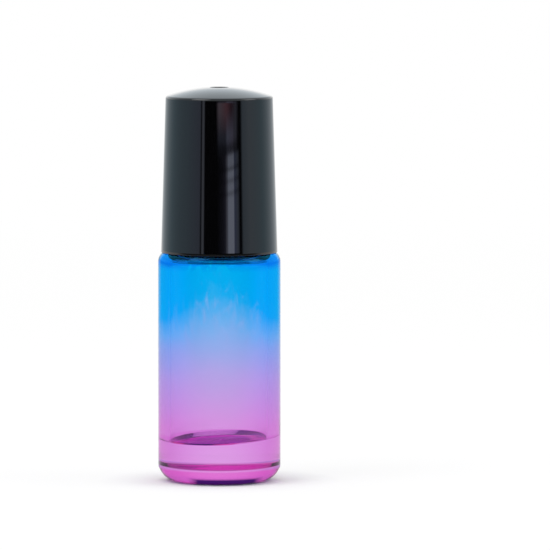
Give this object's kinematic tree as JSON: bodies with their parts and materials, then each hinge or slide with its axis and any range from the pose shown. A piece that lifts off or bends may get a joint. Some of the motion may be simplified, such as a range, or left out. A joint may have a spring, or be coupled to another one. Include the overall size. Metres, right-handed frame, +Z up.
{
  "type": "roll on bottle",
  "caption": "Slim glass roll-on bottle with a blue to pink tint, a steel roller ball in a snap-in housing and a tall black screw cap.",
  "frame": {"origin": "middle of the ring that the base stands on", "axes": "+Z up along the bottle's axis, towards the cap; the picture looks along +Y with +X to its right"},
  "size_m": [0.02, 0.02, 0.0645],
  "materials": {
    "tinted_glass": "gloss",
    "natural_plastic": "satin",
    "polished_steel": "polished",
    "black_plastic": "high gloss",
    "white_plastic": "satin"
  },
  "bodies": {
    "bottle": {"glass_bottle": "tinted_glass", "roller_housing": "natural_plastic"},
    "ball": {"roller_ball": "polished_steel"},
    "seal": {"cap_seal": "white_plastic"},
    "cap": {"screw_cap": "black_plastic"}
  },
  "joints": [
    {"name": "ball_roll", "type": "hinge", "parent": "bottle", "child": "ball", "pos_m": [0, 0, 0.05621], "axis": [1, 0, 0], "continuous": true},
    {"name": "cap_lift", "type": "slide", "parent": "bottle", "child": "seal", "axis": [0, 0, 1], "range_m": [0, 0.0315]},
    {"name": "cap_turn", "type": "hinge", "parent": "seal", "child": "cap", "pos_m": [0, 0, 0.0605], "axis": [0, 0, 1], "range_deg": [0, 5400]}
  ],
  "couplings": [
    {"joint": "cap_lift", "follows": "cap_turn", "m_per_rad": 0.00033423}
  ]
}
